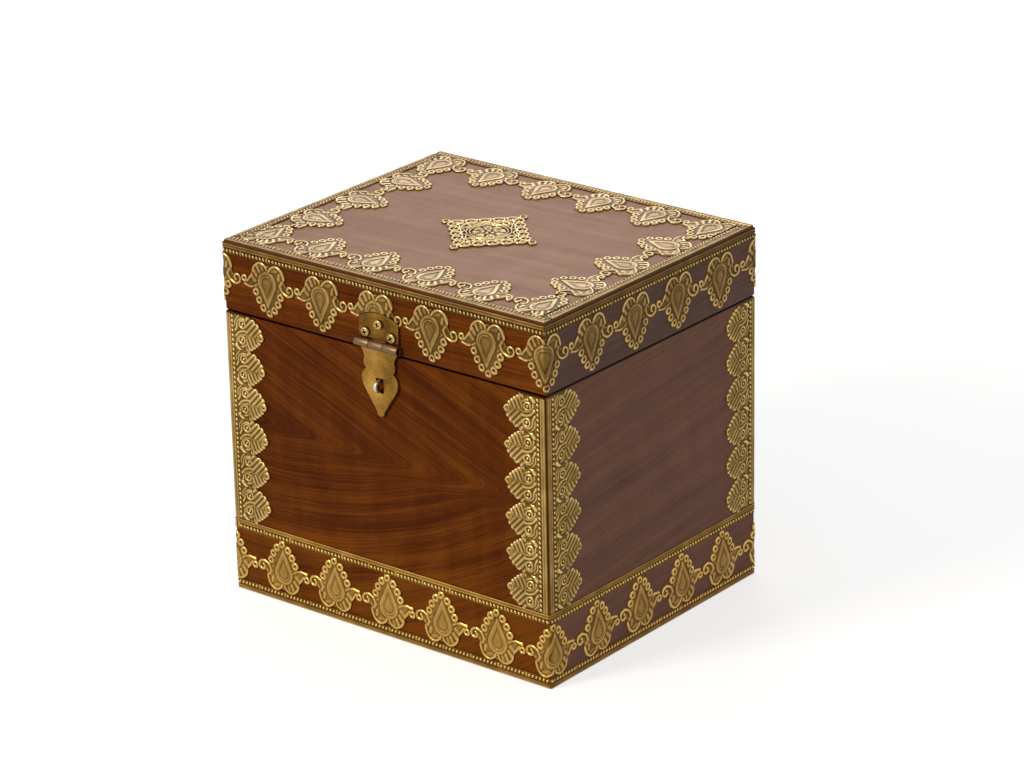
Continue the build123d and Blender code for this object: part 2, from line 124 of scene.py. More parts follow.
def node(tree, kind, feeds=None, stops=None, **settings):
    """Adds a shader node of some kind with its settings.

    feeds gives each input a value, another node's output, or another node for its first output.
    stops are a ramp's places and colours.
    """
    made = tree.nodes.new(f"ShaderNode{kind}")
    for name, value in settings.items():
        setattr(made, name, value)
    for name, feed in (feeds or {}).items():
        value = feed.outputs[0] if isinstance(feed, bpy.types.Node) else feed
        if isinstance(value, bpy.types.NodeSocket):
            tree.links.new(value, made.inputs[name])
        else:
            made.inputs[name].default_value = value
    if stops:
        ramp = made.color_ramp.elements
        while len(ramp) < len(stops):
            ramp.new(1.0)
        for element, (place, colour) in zip(ramp, stops):
            element.position = place
            element.color = paint(colour)
    return made


def material(name):
    """An empty material and its node tree."""
    made = bpy.data.materials.new(name)
    made.use_nodes = True
    made.node_tree.nodes.clear()
    return made, made.node_tree


def finish_material(tree, shader):
    """Feeds a shader to the material's output."""
    node(tree, "OutputMaterial", {"Surface": shader})


def in_scene(name, data):
    """A new object with some data, in the scene."""
    made = bpy.data.objects.new(name, data)
    bpy.context.collection.objects.link(made)
    return made


def dressing(name, mesh, body, replaced):
    """A mesh as a piece that rides on a body in place of the nodes it stands for."""
    piece = in_scene(name, mesh)
    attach(piece, body)
    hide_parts(*replaced)


# ---- wood


def straight_grain(along, across):
    """Grain that runs straight along a board, from two unit directions of the board.

    Like every grain, it is a function that takes a node tree and gives the millimetres along the
    grain and across it.
    """

    def grain(tree):
        place = node(tree, "TexCoord").outputs["Object"]
        return [
            node(
                tree, "VectorMath", {0: place, 1: [part / MM for part in direction]},
                operation="DOT_PRODUCT",
            ).outputs["Value"]
            for direction in (along, across)
        ]

    return grain


def feather_grain(tree):
    """Feather figure: grain that runs down to a level line above it, and curves up to it below."""
    meeting_height = 93.0
    meeting_blur = 7.0
    upper_slope = 0.4
    bow_middle = -85.0
    bow = 0.0018  # rise over the square of the distance from the bow's middle
    lower_squeeze = 1.3  # the grain lies closer below the meeting line
    place = node(tree, "TexCoord").outputs["Object"]
    parts = node(tree, "SeparateXYZ", {0: place}).outputs
    x, z = (
        node(tree, "Math", {0: parts[axis], 1: 1 / MM}, operation="MULTIPLY")
        for axis in ("X", "Z")
    )
    lift = node(tree, "Math", {0: z, 1: meeting_height}, operation="SUBTRACT")
    upper = node(tree, "Math", {0: x, 1: upper_slope, 2: lift}, operation="MULTIPLY_ADD")
    off_middle = node(tree, "Math", {0: x, 1: bow_middle}, operation="SUBTRACT")
    squared = node(tree, "Math", {0: off_middle, 1: 2.0}, operation="POWER")
    bowed = node(tree, "Math", {0: squared, 1: bow}, operation="MULTIPLY")
    below = node(tree, "Math", {0: bowed, 1: lift}, operation="SUBTRACT")
    lower = node(tree, "Math", {0: below, 1: lower_squeeze}, operation="MULTIPLY")
    above = node(
        tree, "MapRange",
        {"Value": lift, "From Min": -meeting_blur, "From Max": meeting_blur},
        interpolation_type="SMOOTHSTEP",
    )
    across = node(tree, "Mix", {"Factor": above, 2: lower, 3: upper}, data_type="FLOAT")
    return x, across


def edge_line(tree, level, reach):
    """1 on the chest's outer skin within reach of a level, in millimetres, and 0 farther off."""
    skin = 1.0
    fade = 0.4
    place = node(tree, "TexCoord").outputs["Object"]
    parts = node(tree, "SeparateXYZ", {0: place}).outputs
    past_width, past_depth = (
        node(
            tree, "Math",
            {0: node(tree, "Math", {0: parts[axis]}, operation="ABSOLUTE"),
             1: (half - skin) * MM},
            operation="SUBTRACT",
        )
        for axis, half in (("X", half_width), ("Y", half_depth))
    )
    outward = node(tree, "Math", {0: past_width, 1: past_depth}, operation="MAXIMUM")
    over = node(tree, "Math", {0: parts["Z"], 1: level * MM}, operation="SUBTRACT")
    away = node(tree, "Math", {0: over}, operation="ABSOLUTE")
    at_level = node(
        tree, "MapRange",
        {"Value": away, "From Min": reach * MM, "From Max": (reach + fade) * MM,
         "To Min": 1.0, "To Max": 0.0},
    )
    on_skin = node(tree, "MapRange", {"Value": outward, "From Min": -fade * MM, "From Max": 0.0})
    return node(tree, "Math", {0: at_level, 1: on_skin}, operation="MULTIPLY")


def rosewood(name, grain, tones, shine, oil, waver=4.0, roughness=0.5, pale_foot=0.0):
    """Oiled sheesham, planed and rubbed, in a dark, a middle and a light tone.

    Dark streaks and fine pores run with the grain and a faint curl lies across it, under a thin soft
    shine. The joint of lid and chest is painted near-black, as painted shade in the seam, and hands
    have reddened the edge round the lid's top. A pale foot makes the tones lighter towards the
    bottom, by that share of them.
    """
    bands = {
        # length along the grain, width across it, and detail
        "figure": (160.0, 11.0, 3.0),
        "streak": (70.0, 1.5, 5.0),
        "pore": (9.0, 0.45, 1.0),  # drawn coarser than real pores, so that they show
        "curl": (15.0, 60.0, 2.0),
    }
    waver_length = 38.0
    streak_share = 0.42
    curl_share = 0.2
    pore_share = 0.35
    pore_levels = (0.56, 0.66)
    tone_levels = (0.30, 0.47, 0.64)
    foot_levels = (36.0, 58.0)
    joint_height = (rim_height + lid_base) / 2
    handled_height = lid_top - 1.1
    made, tree = material(name)
    along, across = grain(tree)
    place = node(tree, "TexCoord").outputs["Object"]
    drift = node(tree, "TexNoise", {"Vector": place, "Scale": 1 / (waver_length * MM), "Detail": 2.0})
    bent = node(tree, "Math", {0: drift, 1: waver, 2: across}, operation="MULTIPLY_ADD")
    layers = {}
    for layer, (length, width, detail) in bands.items():
        share_along, share_across = (
            node(tree, "Math", {0: distance, 1: size}, operation="DIVIDE")
            for distance, size in ((along, length), (bent, width))
        )
        vector = node(tree, "CombineXYZ", {0: share_along, 1: share_across})
        layers[layer] = node(tree, "TexNoise", {"Vector": vector, "Scale": 1.0, "Detail": detail})
    mixed = layers["figure"]
    for layer, share in (("streak", streak_share), ("curl", curl_share)):
        mixed = node(tree, "Mix", {"Factor": share, 2: mixed, 3: layers[layer]}, data_type="FLOAT")
    # The tones are made lighter towards the bottom, by the pale foot's share
    foot = node(
        tree, "MapRange",
        {"Value": node(tree, "SeparateXYZ", {0: place}).outputs["Z"],
         "From Min": foot_levels[0] * MM, "From Max": foot_levels[1] * MM,
         "To Min": pale_foot, "To Max": 0.0},
        interpolation_type="SMOOTHSTEP",
    )
    tone = node(tree, "Math", {0: mixed, 1: foot}, operation="ADD")
    pores = node(
        tree, "MapRange",
        {"Value": layers["pore"], "From Min": pore_levels[0], "From Max": pore_levels[1]},
    )
    in_pores = node(tree, "Math", {0: pores, 1: pore_share}, operation="MULTIPLY")
    # Painted shade: the seam between lid and chest is drawn near-black and dull
    seam_shade = edge_line(tree, joint_height, reach=0.4)
    handled = edge_line(tree, handled_height, reach=0.8)
    colour = node(tree, "ValToRGB", {"Fac": tone}, stops=list(zip(tone_levels, tones)))
    # Pores take the dark tone and the lid's top edge a reddened stain, while the seam takes near-black
    # painted shade
    for where, stain_and_shade in ((in_pores, tones[0]), (seam_shade, "#080302"), (handled, "#55290e")):
        colour = node(
            tree, "Mix", {"Factor": where, 6: colour, 7: paint(stain_and_shade)}, data_type="RGBA"
        ).outputs[2]
    rubbed_wood = node(
        tree, "MapRange",
        {"Value": tone, "From Min": 0.3, "From Max": 0.7,
         "To Min": roughness + 0.08, "To Max": roughness},
    )
    dull = node(tree, "Math", {0: seam_shade, 1: handled}, operation="MAXIMUM")
    rough = node(tree, "Math", {0: rubbed_wood, 1: dull}, operation="MAXIMUM")
    height = node(tree, "Math", {0: layers["streak"], 1: pores}, operation="SUBTRACT")
    bump = node(tree, "Bump", {"Height": height, "Strength": 0.25, "Distance": 0.15 * MM})
    shader = node(
        tree, "BsdfPrincipled",
        {"Base Color": colour, "Roughness": rough, "Normal": bump, "IOR": 1.5,
         "Specular IOR Level": shine, "Specular Tint": paint(oil)},
    )
    finish_material(tree, shader)
    return made


# ---- metals


def bare_metal(name, mottle_size, mottle_detail, pit_size):
    """A metal's material, and in its tree the place, a mottle left by handling, and fine pits."""
    made, tree = material(name)
    place = node(tree, "TexCoord").outputs["Object"]
    mottle, pits = (
        node(tree, "TexNoise", {"Vector": place, "Scale": 1 / (size * MM), "Detail": detail})
        for size, detail in ((mottle_size, mottle_detail), (pit_size, 3.0))
    )
    return made, tree, place, mottle, pits


def finish_metal(tree, colour, rough, pits, strength, depth):
    """Feeds a metal of some colour and roughness to the output, pitted to a depth."""
    bump = node(tree, "Bump", {"Height": pits, "Strength": strength, "Distance": depth * MM})
    shader = node(
        tree, "BsdfPrincipled",
        {"Base Color": colour, "Metallic": 1.0, "Roughness": rough, "Normal": bump},
    )
    finish_material(tree, shader)


def stamped_metal(name, recess, face, edge, roughness):
    """Lacquered metal, stamped or cast. Its hollows are darker, as patina and as painted shade, and
    its high lines are bright, as wear and as painted highlight.
    """
    mottle_share = 0.35
    side_shade_share = 0.09
    made, tree, place, mottle, pits = bare_metal(name, 9.0, 4.0, 0.5)
    relief = node(tree, "Attribute", attribute_name="relief").outputs["Fac"]
    proud = node(tree, "Math", {0: mottle, 1: mottle_share, 2: relief}, operation="MULTIPLY_ADD")
    # The strips on the left and right walls are painted darker, as painted shade on those sides
    x = node(tree, "SeparateXYZ", {0: place}).outputs["X"]
    sideways = node(tree, "Math", {0: x}, operation="ABSOLUTE")
    side_shade = node(
        tree, "MapRange",
        {"Value": sideways, "From Min": (half_width - 0.2) * MM, "From Max": half_width * MM,
         "To Max": side_shade_share},
    )
    worn_and_lit = node(tree, "Math", {0: proud, 1: side_shade}, operation="SUBTRACT")
    # Relief picks the colour: hollows dark as patina and painted shade, high lines bright as wear and
    # painted highlight
    colour = node(tree, "ValToRGB", {"Fac": worn_and_lit}, stops=[(0.44, recess), (0.68, face), (1.0, edge)])
    rough = node(
        tree, "MapRange",
        {"Value": worn_and_lit, "From Min": 0.5, "From Max": 1.0,
         "To Min": roughness + 0.18, "To Max": roughness},
    )
    finish_metal(tree, colour, rough, pits, 0.2, 0.08)
    return made


def sheet_metal(name, dull, face, bright, roughness, mottle_size, barrel=None):
    """Rolled brass sheet, or steel, mottled by handling, with fine pits that catch the light.

    Where it is rolled round the hasp's pin it may be worn to a colour of its own.
    """
    pit_share = 0.35
    barrel_reach = (2.5, 3.3)  # wholly barrel within the first, wholly flat sheet past the second
    made, tree, place, mottle, pits = bare_metal(name, mottle_size, 5.0, 0.7)
    tone = node(tree, "Mix", {"Factor": pit_share, 2: mottle, 3: pits}, data_type="FLOAT")
    colour = node(tree, "ValToRGB", {"Fac": tone}, stops=[(0.36, dull), (0.50, face), (0.66, bright)])
    rough = node(
        tree, "MapRange",
        {"Value": tone, "From Min": 0.35, "From Max": 0.65,
         "To Min": roughness + 0.12, "To Max": roughness},
    )
    if barrel:
        pin_middle = [0.0, *(sum(corners("hasp_pin")) / 2 * MM)[1:]]
        from_pin = node(tree, "VectorMath", {0: place, 1: pin_middle}, operation="SUBTRACT")
        across_pin = node(tree, "VectorMath", {0: from_pin, 1: (0, 1, 1)}, operation="MULTIPLY")
        off_pin = node(tree, "VectorMath", {0: across_pin}, operation="LENGTH")
        on_barrel = node(
            tree, "MapRange",
            {"Value": off_pin.outputs["Value"], "From Min": barrel_reach[0] * MM,
             "From Max": barrel_reach[1] * MM, "To Min": 1.0, "To Max": 0.0},
        )
        colour = node(
            tree, "Mix", {"Factor": on_barrel, 6: colour, 7: paint(barrel)},
            data_type="RGBA",
        ).outputs[2]
    finish_metal(tree, colour, rough, pits, 0.25, 0.1)
    return made


# ---- drawing stamped work
# Distances are positive inside a shape. u runs along a strip, v in from its outer edge.


def ball(u, v, centre, radius):
    """Distance inside a round."""
    return radius - np.hypot(u - centre[0], v - centre[1])


def left_of(u, v, first, second):
    """Distance to the left of a line that runs from one point to another."""
    along = np.array(second) - np.array(first)
    along = along / np.hypot(*along)
    return along[0] * (v - first[1]) - along[1] * (u - first[0])


def drop(u, v, centre, radius, tip):
    """Distance inside a drop: a round drawn out to a point at v = tip."""
    across = np.abs(u)
    up = v - centre
    lean = radius / (tip - centre)
    normal = (math.sqrt(1 - lean * lean), lean)
    past = up * normal[0] - across * normal[1] > 0
    straight = radius - across * normal[0] - up * normal[1]
    return np.where(past, straight, radius - np.hypot(across, up))


def curve(points, parts=8):
    """A smooth line through a few points."""
    knots = np.array([points[0], *points, points[-1]], float)
    share = np.linspace(0, 1, parts, endpoint=False)[:, None]
    line = []
    for before, first, second, after in zip(knots, knots[1:], knots[2:], knots[3:]):
        bend = (
            2 * first
            + (second - before) * share
            + (2 * before - 5 * first + 4 * second - after) * share**2
            + (3 * first - before - 3 * second + after) * share**3
        )
        line.append(bend / 2)
    return np.concatenate((*line, knots[-1:]))


def off_line(u, v, line):
    """Distance from a line of points, and how far along it the nearest place is, 0 to 1."""
    nearest = np.full(u.shape, np.inf)
    where = np.zeros(u.shape)
    for i, (first, second) in enumerate(zip(line, line[1:])):
        run = second - first
        share = ((u - first[0]) * run[0] + (v - first[1]) * run[1]) / max(run @ run, 1e-9)
        share = np.clip(share, 0, 1)
        away = np.hypot(u - first[0] - share * run[0], v - first[1] - share * run[1])
        closer = away < nearest
        nearest = np.where(closer, away, nearest)
        where = np.where(closer, (i + share) / (len(line) - 1), where)
    return nearest, where


def rounded(away, width):
    """Height, 0 to 1, of a round-backed ridge of some width, by the distance from its middle."""
    return np.sqrt(np.clip(1 - (2 * away / width) ** 2, 0, 1))


def ring(u, v, centre, radius, width):
    """A raised round-backed ring, or a bead where its radius is 0."""
    return rounded(np.abs(np.hypot(u - centre[0], v - centre[1]) - radius), width)


def ridges(u, v, rows):
    """Raised round-backed lines, from rows of rise, width, width at the end, and places."""
    heights = []
    for rise, width, end_width, places in rows:
        away, where = off_line(u, v, curve(places))
        heights.append(rise * rounded(away, width + (end_width - width) * where))
    return heights


def trimmed(inside, height, eyes, depth):
    """The height with eyes sunk into it and its edge rolled down to the outline."""
    eye_slope = 0.4
    edge_height = 0.45
    edge_slope = 0.7
    sunk = height * (1 - depth * np.clip(eyes / eye_slope, 0, 1))
    return sunk * np.clip(edge_height + inside / edge_slope, 0, 1)


# ---- the pendant
# Drawn hanging, with u to the right and v down from the strip's upper edge.

drop_shift = -0.1
outer_drop = (15.5, 6.1, 28.9)  # height of its round, radius, tip
inner_drop = (15.9, 3.8, 24.4)
ring_bead_radius = 2.3
ring_beads = ((-7.7, 21.2), (-5.8, 25.1), (-3.2, 28.6), (8.3, 21.1), (6.6, 25.0), (4.2, 28.5))
tip_place = (0.7, 30.8)
tip_half = 2.2
curl_place = (14.3, 17.0)
curl_radius = 3.0
curl_eye = (14.9, 16.4)
small_ring = (-15.3, 15.7)
small_ring_radius = 2.1
lobe_radius = 5.6
lobes = ((-4.4, 10.9), (5.9, 10.9))
notch_fill = ((0.75, 9.6), 3.1)
swell = 0.16  # of the plate between its raised lines
lobe_swell = 0.14
arms = (
    # half a width and the places it runs through: the wing, its foot, and the curl's neck
    (2.9, ((-6.4, 11.4), (-8.7, 14.6), (-11.6, 17.2))),
    (1.2, ((-9.0, 17.6), (-12.0, 18.6), (-15.0, 18.5))),
    (2.4, ((8.4, 13.0), (10.0, 16.2), (13.0, 18.0))),
)
pendant_ridges = (
    # rise, width, width at the end, and places: the two rims, the curl and the wing's foot
    (0.74, 1.5, 1.3, ((1.0, 9.6), (2.9, 7.0), (6.0, 5.9), (9.0, 7.6), (10.7, 11.2), (12.0, 14.6))),
    (0.60, 1.4, 1.2, ((-0.1, 9.2), (-1.4, 6.8), (-4.2, 5.8), (-7.6, 7.5), (-9.9, 10.8),
                      (-11.4, 14.2), (-13.4, 16.8))),
    (0.64, 1.5, 1.2, ((8.4, 15.0), (9.6, 17.7), (12.0, 19.3), (14.8, 19.3), (16.6, 17.7),
                      (16.3, 15.4), (14.2, 14.7), (12.9, 16.2), (13.8, 17.6))),
    (0.48, 1.2, 1.2, ((-6.6, 17.2), (-9.4, 18.9), (-12.4, 19.2), (-15.2, 18.4))),
    # the leaf in the right lobe
    (0.40, 2.8, 2.8, ((3.0, 8.6), (6.3, 7.9))),
    (0.52, 2.3, 2.3, ((8.0, 9.8), (7.6, 12.0))),
    (0.45, 1.9, 1.9, ((9.5, 13.2), (8.2, 15.4))),
    # the ribs of the left lobe and its wing
    (0.48, 2.4, 2.4, ((-3.6, 7.1), (-3.0, 9.0))),
    (0.66, 2.5, 2.5, ((-6.3, 8.0), (-5.0, 10.3))),
    (0.56, 2.5, 2.5, ((-8.5, 10.7), (-6.9, 12.6))),
    (0.48, 2.6, 2.6, ((-10.2, 13.8), (-8.2, 15.4))),
    # a short pad over each row of ring beads
    (0.34, 1.3, 1.3, ((-7.4, 17.9), (-6.4, 18.7))),
    (0.34, 1.3, 1.3, ((7.6, 17.6), (6.6, 18.6))),
)


def pendant(u, v):
    """A heart with curled ends and a drop in it: distance inside its outline, and its height."""
    left_flank = left_of(u, v, (-3.5, 31.0), (-9.5, 20.4))
    right_flank = left_of(u, v, (10.2, 20.4), (4.3, 31.0))
    kite = np.minimum.reduce([left_flank, right_flank, v - 10.2, 31.0 - v, u + 9.3, 10.0 - u])
    in_arms = [half - off_line(u, v, curve(places))[0] for half, places in arms]
    tip_away = (np.abs(u - tip_place[0]) ** 3 + np.abs(v - tip_place[1]) ** 3) ** (1 / 3)
    rounds = [(centre, lobe_radius) for centre in lobes]
    rounds += [notch_fill, (curl_place, curl_radius), (small_ring, small_ring_radius)]
    rounds += [(centre, ring_bead_radius) for centre in ring_beads]
    inside = np.maximum.reduce(
        [kite, *in_arms, tip_half - tip_away, *(ball(u, v, *one) for one in rounds)]
    )
    lines = ridges(u, v, pendant_ridges)
    lines += [0.60 * ring(u, v, small_ring, 1.35, 1.4), 0.50 * ring(u, v, tip_place, 1.35, 1.3)]
    lines += [0.60 * ring(u, v, centre, 1.4, 1.6) for centre in ring_beads]
    lines += [swell * np.clip(kite / 1.2, 0, 1), swell * np.clip((in_arms[0] - 0.3) / 1.6, 0, 1)]
    lines += [
        lobe_swell * np.clip(ball(u, v, centre, lobe_radius) / 2.4, 0, 1) ** 0.7
        for centre in lobes
    ]
    whole = drop(u - drop_shift, v, *outer_drop)
    thin = drop(u - drop_shift, v, *inner_drop)
    ribbon = 0.62 * rounded(np.minimum(whole - 1.1, 1.2), 2.4)
    boss = 0.20 + 0.44 * np.clip(thin / 2.6, 0, 1) ** 0.6
    lip = 0.66 * rounded(thin + 0.05, 0.9)
    in_drop = np.maximum(np.where(thin > 0, boss, ribbon), lip)
    height = sheet_rise + np.where(whole > 0, in_drop, np.maximum.reduce(lines))
    eyes = [ball(u, v, centre, 0.85) for centre in (*ring_beads, small_ring)]
    eyes += [ball(u, v, tip_place, 0.6), ball(u, v, curl_eye, 0.7)]
    return inside, trimmed(inside, height, np.maximum.reduce(eyes), 0.7)


# ---- the leaf

leaf_rib_ends = ((7.9, 14.4), (7.1, 17.4), (5.3, 19.9), (3.0, 21.7))
leaf_edge_beads = ((-8.3, 14.4), (-7.2, 16.3), (-5.9, 18.2), (-4.5, 19.9), (-3.0, 21.5))
leaf_tip = (0.1, 22.6)
leaf_scrolls = ((-3.5, 10.2), (4.9, 10.8))
leaf_hole = (-8.6, 11.6)
leaf_vein = -0.6
left_rib_slope = 0.45
right_rib_slope = 0.95
rib_pitch = 2.6
leaf_ridges = (
    # rise, width, width at the end, and places: the vein, then the link leaf and the scrolls' stems
    (0.45, 0.9, 0.9, ((leaf_vein, 13.2), (leaf_vein, 20.4))),
    (0.74, 2.5, 1.6, ((-6.9, 6.4), (-8.0, 7.4), (-9.2, 9.0))),
    (0.50, 1.2, 1.2, ((-7.0, 9.8), (-6.4, 11.8), (-5.0, 13.4))),
    (0.58, 1.5, 1.5, ((-2.0, 6.2), (0.2, 8.2), (1.4, 11.0), (1.6, 13.6))),
    (0.52, 1.2, 1.2, ((-5.2, 6.8), (-3.4, 7.0), (-1.0, 8.8), (-0.4, 12.2))),
    (0.52, 1.3, 1.3, ((1.0, 6.0), (3.4, 7.2), (6.0, 7.5), (7.6, 9.6), (7.4, 12.4))),
    (0.44, 1.0, 1.0, ((3.6, 5.8), (6.2, 6.0), (8.6, 8.0))),
)


def leaf(u, v):
    """A slanting ribbed leaf with a curled tip, over two scrolls and a smooth link leaf."""
    left_flank = left_of(u, v, (-2.2, 22.6), (-9.0, 13.6))
    right_flank = left_of(u, v, (8.6, 14.0), (2.4, 22.8))
    blade = np.minimum.reduce([left_flank, right_flank, u + 9.0, 9.0 - u, 23.2 - v])
    rounds = [(leaf_tip, 2.25), *((centre, 1.9) for centre in leaf_rib_ends)]
    rounds += [(centre, 1.15) for centre in leaf_edge_beads]
    inside = np.maximum.reduce([blade, 13.3 - v, *(ball(u, v, *one) for one in rounds)])
    off_vein = np.abs(u - leaf_vein)
    right_side = u > leaf_vein
    slope = np.where(right_side, right_rib_slope, left_rib_slope)
    pitch = rib_pitch * np.where(right_side, 1.25, 1.0)
    ribs = np.abs(np.sin(math.pi * (v - slope * off_vein - 13.5) / pitch)) ** 0.8
    ribs = ribs * np.clip((v - 12.4) / 0.8, 0, 1) * np.clip((off_vein - 0.1) / 0.6, 0, 1)
    lines = [0.56 * ribs, *ridges(u, v, leaf_ridges)]
    lines += [0.6 * ring(u, v, leaf_tip, 1.45, 1.4), 0.35 * ball(u, v, leaf_tip, 0.8).clip(0, 1)]
    lines += [0.5 * ring(u, v, centre, 0, 1.9) for centre in leaf_edge_beads]
    for centre in leaf_scrolls:
        lines += [0.62 * ring(u, v, centre, 1.95, 1.3), 0.66 * ring(u, v, centre, 0, 1.7)]
    height = sheet_rise + np.maximum.reduce(lines)
    return inside, trimmed(inside, height, ball(u, v, leaf_hole, 1.1), 0.8)


# ---- the medallion

medallion_loops = (0.0, 7.0, 14.0)
loop_line = 16.7
loop_radius = 2.5
outer_line = 18.6
outer_wave = 0.5
inner_line = 13.7
corner_ring = 19.5
corner_scroll = (10.9, 9.8)


def medallion_work(a, b):
    """Pierced filigree, the same in each eighth: distance inside its wires, and their height."""
    far = np.maximum(np.abs(a), np.abs(b))
    near = np.minimum(np.abs(a), np.abs(b))
    radius = np.hypot(a, b)
    turn = np.arctan2(b, a)
    wave = outer_wave * np.cos(2 * math.pi * near / (medallion_loops[1] - medallion_loops[0]))
    ties = (np.array([(13.6, 13.6), (18.4, 18.4)]),
            curve([(13.6, 10.8), (12.6, 7.0), (11.9, 3.4), (13.6, 1.2)]))
    tie_away = [off_line(far, near, line)[0] for line in ties]
    wires = [
        # distance from a wire's middle, its width and its rise
        (np.abs(far - outer_line - wave), 1.1, 0.75),
        (np.abs(far - inner_line), 1.1, 0.7),
        (np.abs(radius - medallion_ring), 1.1, 0.85),
        (np.abs(radius - medallion_ring + 1.7), 1.0, 0.8),
        (np.abs(np.hypot(far - corner_ring, near - corner_ring) - 1.55), 1.5, 0.8),
        (np.abs(np.hypot(far - corner_scroll[0], near - corner_scroll[1]) - 1.7), 1.1, 0.7),
        (tie_away[0], 1.3, 0.7),
        (tie_away[1], 1.1, 0.6),
    ]
    for place in medallion_loops:
        loop = np.hypot(far - loop_line, (near - place) / 1.15)
        wires += [(np.abs(loop - loop_radius), 1.2, 0.75), (loop, 1.5, 0.6)]
    in_wires = [width / 2 - away for away, width, _ in wires]
    over_wires = [0.45 + rise * rounded(away, width) for away, width, rise in wires]

    # A flower of eight petals in the middle, on eight spokes
    outer = np.abs(np.cos(4 * turn)) ** 0.5
    inner = np.abs(np.sin(4 * turn)) ** 0.5
    veins = 0.9 + 0.1 * np.cos(24 * turn)
    petal = np.sqrt(np.clip(1 - (np.abs(radius - 6.3) / 2.7) ** 2, 0, 1)) * outer * veins
    heart = np.sqrt(np.clip(1 - (np.abs(radius - 3.5) / 1.7) ** 2, 0, 1)) * inner
    flower = np.maximum.reduce([0.95 * petal, 1.15 * heart, 1.3 * rounded(radius, 3.0)])
    in_flower = (8.0 + 1.0 * outer) - radius
    spokes = 0.45 - np.abs(np.sin(4 * turn)) * radius / 4
    inside = np.maximum.reduce([*in_wires, in_flower, np.minimum(spokes, 10.5 - radius)])
    over = np.where(in_flower > 0, 0.35 + flower, np.maximum.reduce(over_wires))
    return inside, np.minimum(over, medallion_rise) * np.clip(0.6 + inside / 0.6, 0, 1)


# ---- pressing a sheet


def relief_wear_and_light(height, passes=20):
    """How proud each place is of what lies round it: 0.5 where it is level with it. The colour drawn
    from it darkens hollows as patina and painted shade and lightens proud places as wear and painted
    highlight.
    """
    contrast = 1.35
    around = height
    for _ in range(passes):
        framed = np.pad(around, 1, mode="edge")
        beside = framed[2:, 1:-1] + framed[:-2, 1:-1] + framed[1:-1, 2:] + framed[1:-1, :-2]
        around = around / 2 + beside / 8
    return 0.5 + (height - around) * contrast


def turned_out(points, faces, relief, place, s, v):
    """A part of a piece, with its faces turned outward whichever way its place lays them.

    A part is its points, its faces by their number of corners, and each point's relief. s and v
    are a spot on it.
    """
    here, right, up, out = place(
        np.array([s, s + 0.1, s, s]), np.array([v, v, v + 0.1, v]), np.array([0, 0, 0, 0.1])
    )
    if np.cross(right - here, up - here) @ (out - here) < 0:
        faces = [around[:, ::-1] for around in faces]
    return points, faces, relief


def pressed(s, v, inside, height, place, relief):
    """A sheet pressed over a grid, its edge on the outline and turned down to the wood."""
    least_steep = 0.2
    farthest_move = 1.5  # in cells
    number = np.arange(inside.size).reshape(inside.shape)
    kept = inside[:-1, :-1] + inside[1:, :-1] + inside[:-1, 1:] + inside[1:, 1:] > 0
    quads = np.stack((number[:-1, :-1], number[1:, :-1], number[1:, 1:], number[:-1, 1:]), -1)[kept]
    used = np.unique(quads)

    # The sheet's edges, each with the sheet on its left
    framed = np.pad(kept, 1)
    under, over = framed[1:-1, :-1], framed[1:-1, 1:]
    before, after = framed[:-1, 1:-1], framed[1:, 1:-1]
    level = np.stack((number[:-1, :], number[1:, :]), -1)
    upright = np.stack((number[:, :-1], number[:, 1:]), -1)
    rims = np.concatenate((
        level[over & ~under],
        level[under & ~over][:, ::-1],
        upright[before & ~after],
        upright[after & ~before][:, ::-1],
    ))
    edge = np.unique(rims)

    # The edge's points move on to the outline
    along, across = (part.ravel() for part in np.meshgrid(s, v, indexing="ij"))
    slope_s, slope_v = np.gradient(inside, s, v)
    steep = np.maximum(slope_s**2 + slope_v**2, least_steep).ravel()[edge]
    cell = max(np.diff(s).max(), np.diff(v).max())
    gap = inside.ravel()[edge]
    gap = np.where(np.abs(gap) < farthest_move * cell, gap, 0)
    along[edge] -= gap * slope_s.ravel()[edge] / steep
    across[edge] -= gap * slope_v.ravel()[edge] / steep

    # The walls run from the edge down to a foot of their own
    top_number, foot_number = np.full((2, inside.size), -1)
    top_number[used] = np.arange(len(used))
    foot_number[edge] = len(used) + np.arange(len(edge))
    left, right = rims.T
    walls = np.stack((top_number[right], top_number[left], foot_number[left], foot_number[right]), -1)
    top = place(along[used], across[used], height.ravel()[used])
    foot = place(along[edge], across[edge], np.zeros(len(edge)))
    faces = [np.concatenate((top_number[quads], walls))]
    # The walls' feet take relief 0, so the turned-down edge is drawn dark, as painted shade round the
    # outline
    point_relief = np.concatenate((relief.ravel()[used], np.zeros(len(edge))))
    return turned_out(np.concatenate((top, foot)), faces, point_relief, place, s[0], v[0])


def rolled(profile, s, place, wear_and_light):
    """A strip's profile rolled along its length. The last argument turns its height into relief, which
    the colour draws as wear and as painted light: highlight on the high lines, shade low down.
    """
    v, rise = np.array(profile).T
    inside = np.ones((len(s), len(v)))
    height = rise * inside
    return pressed(s, v, inside, height, place, wear_and_light * height)


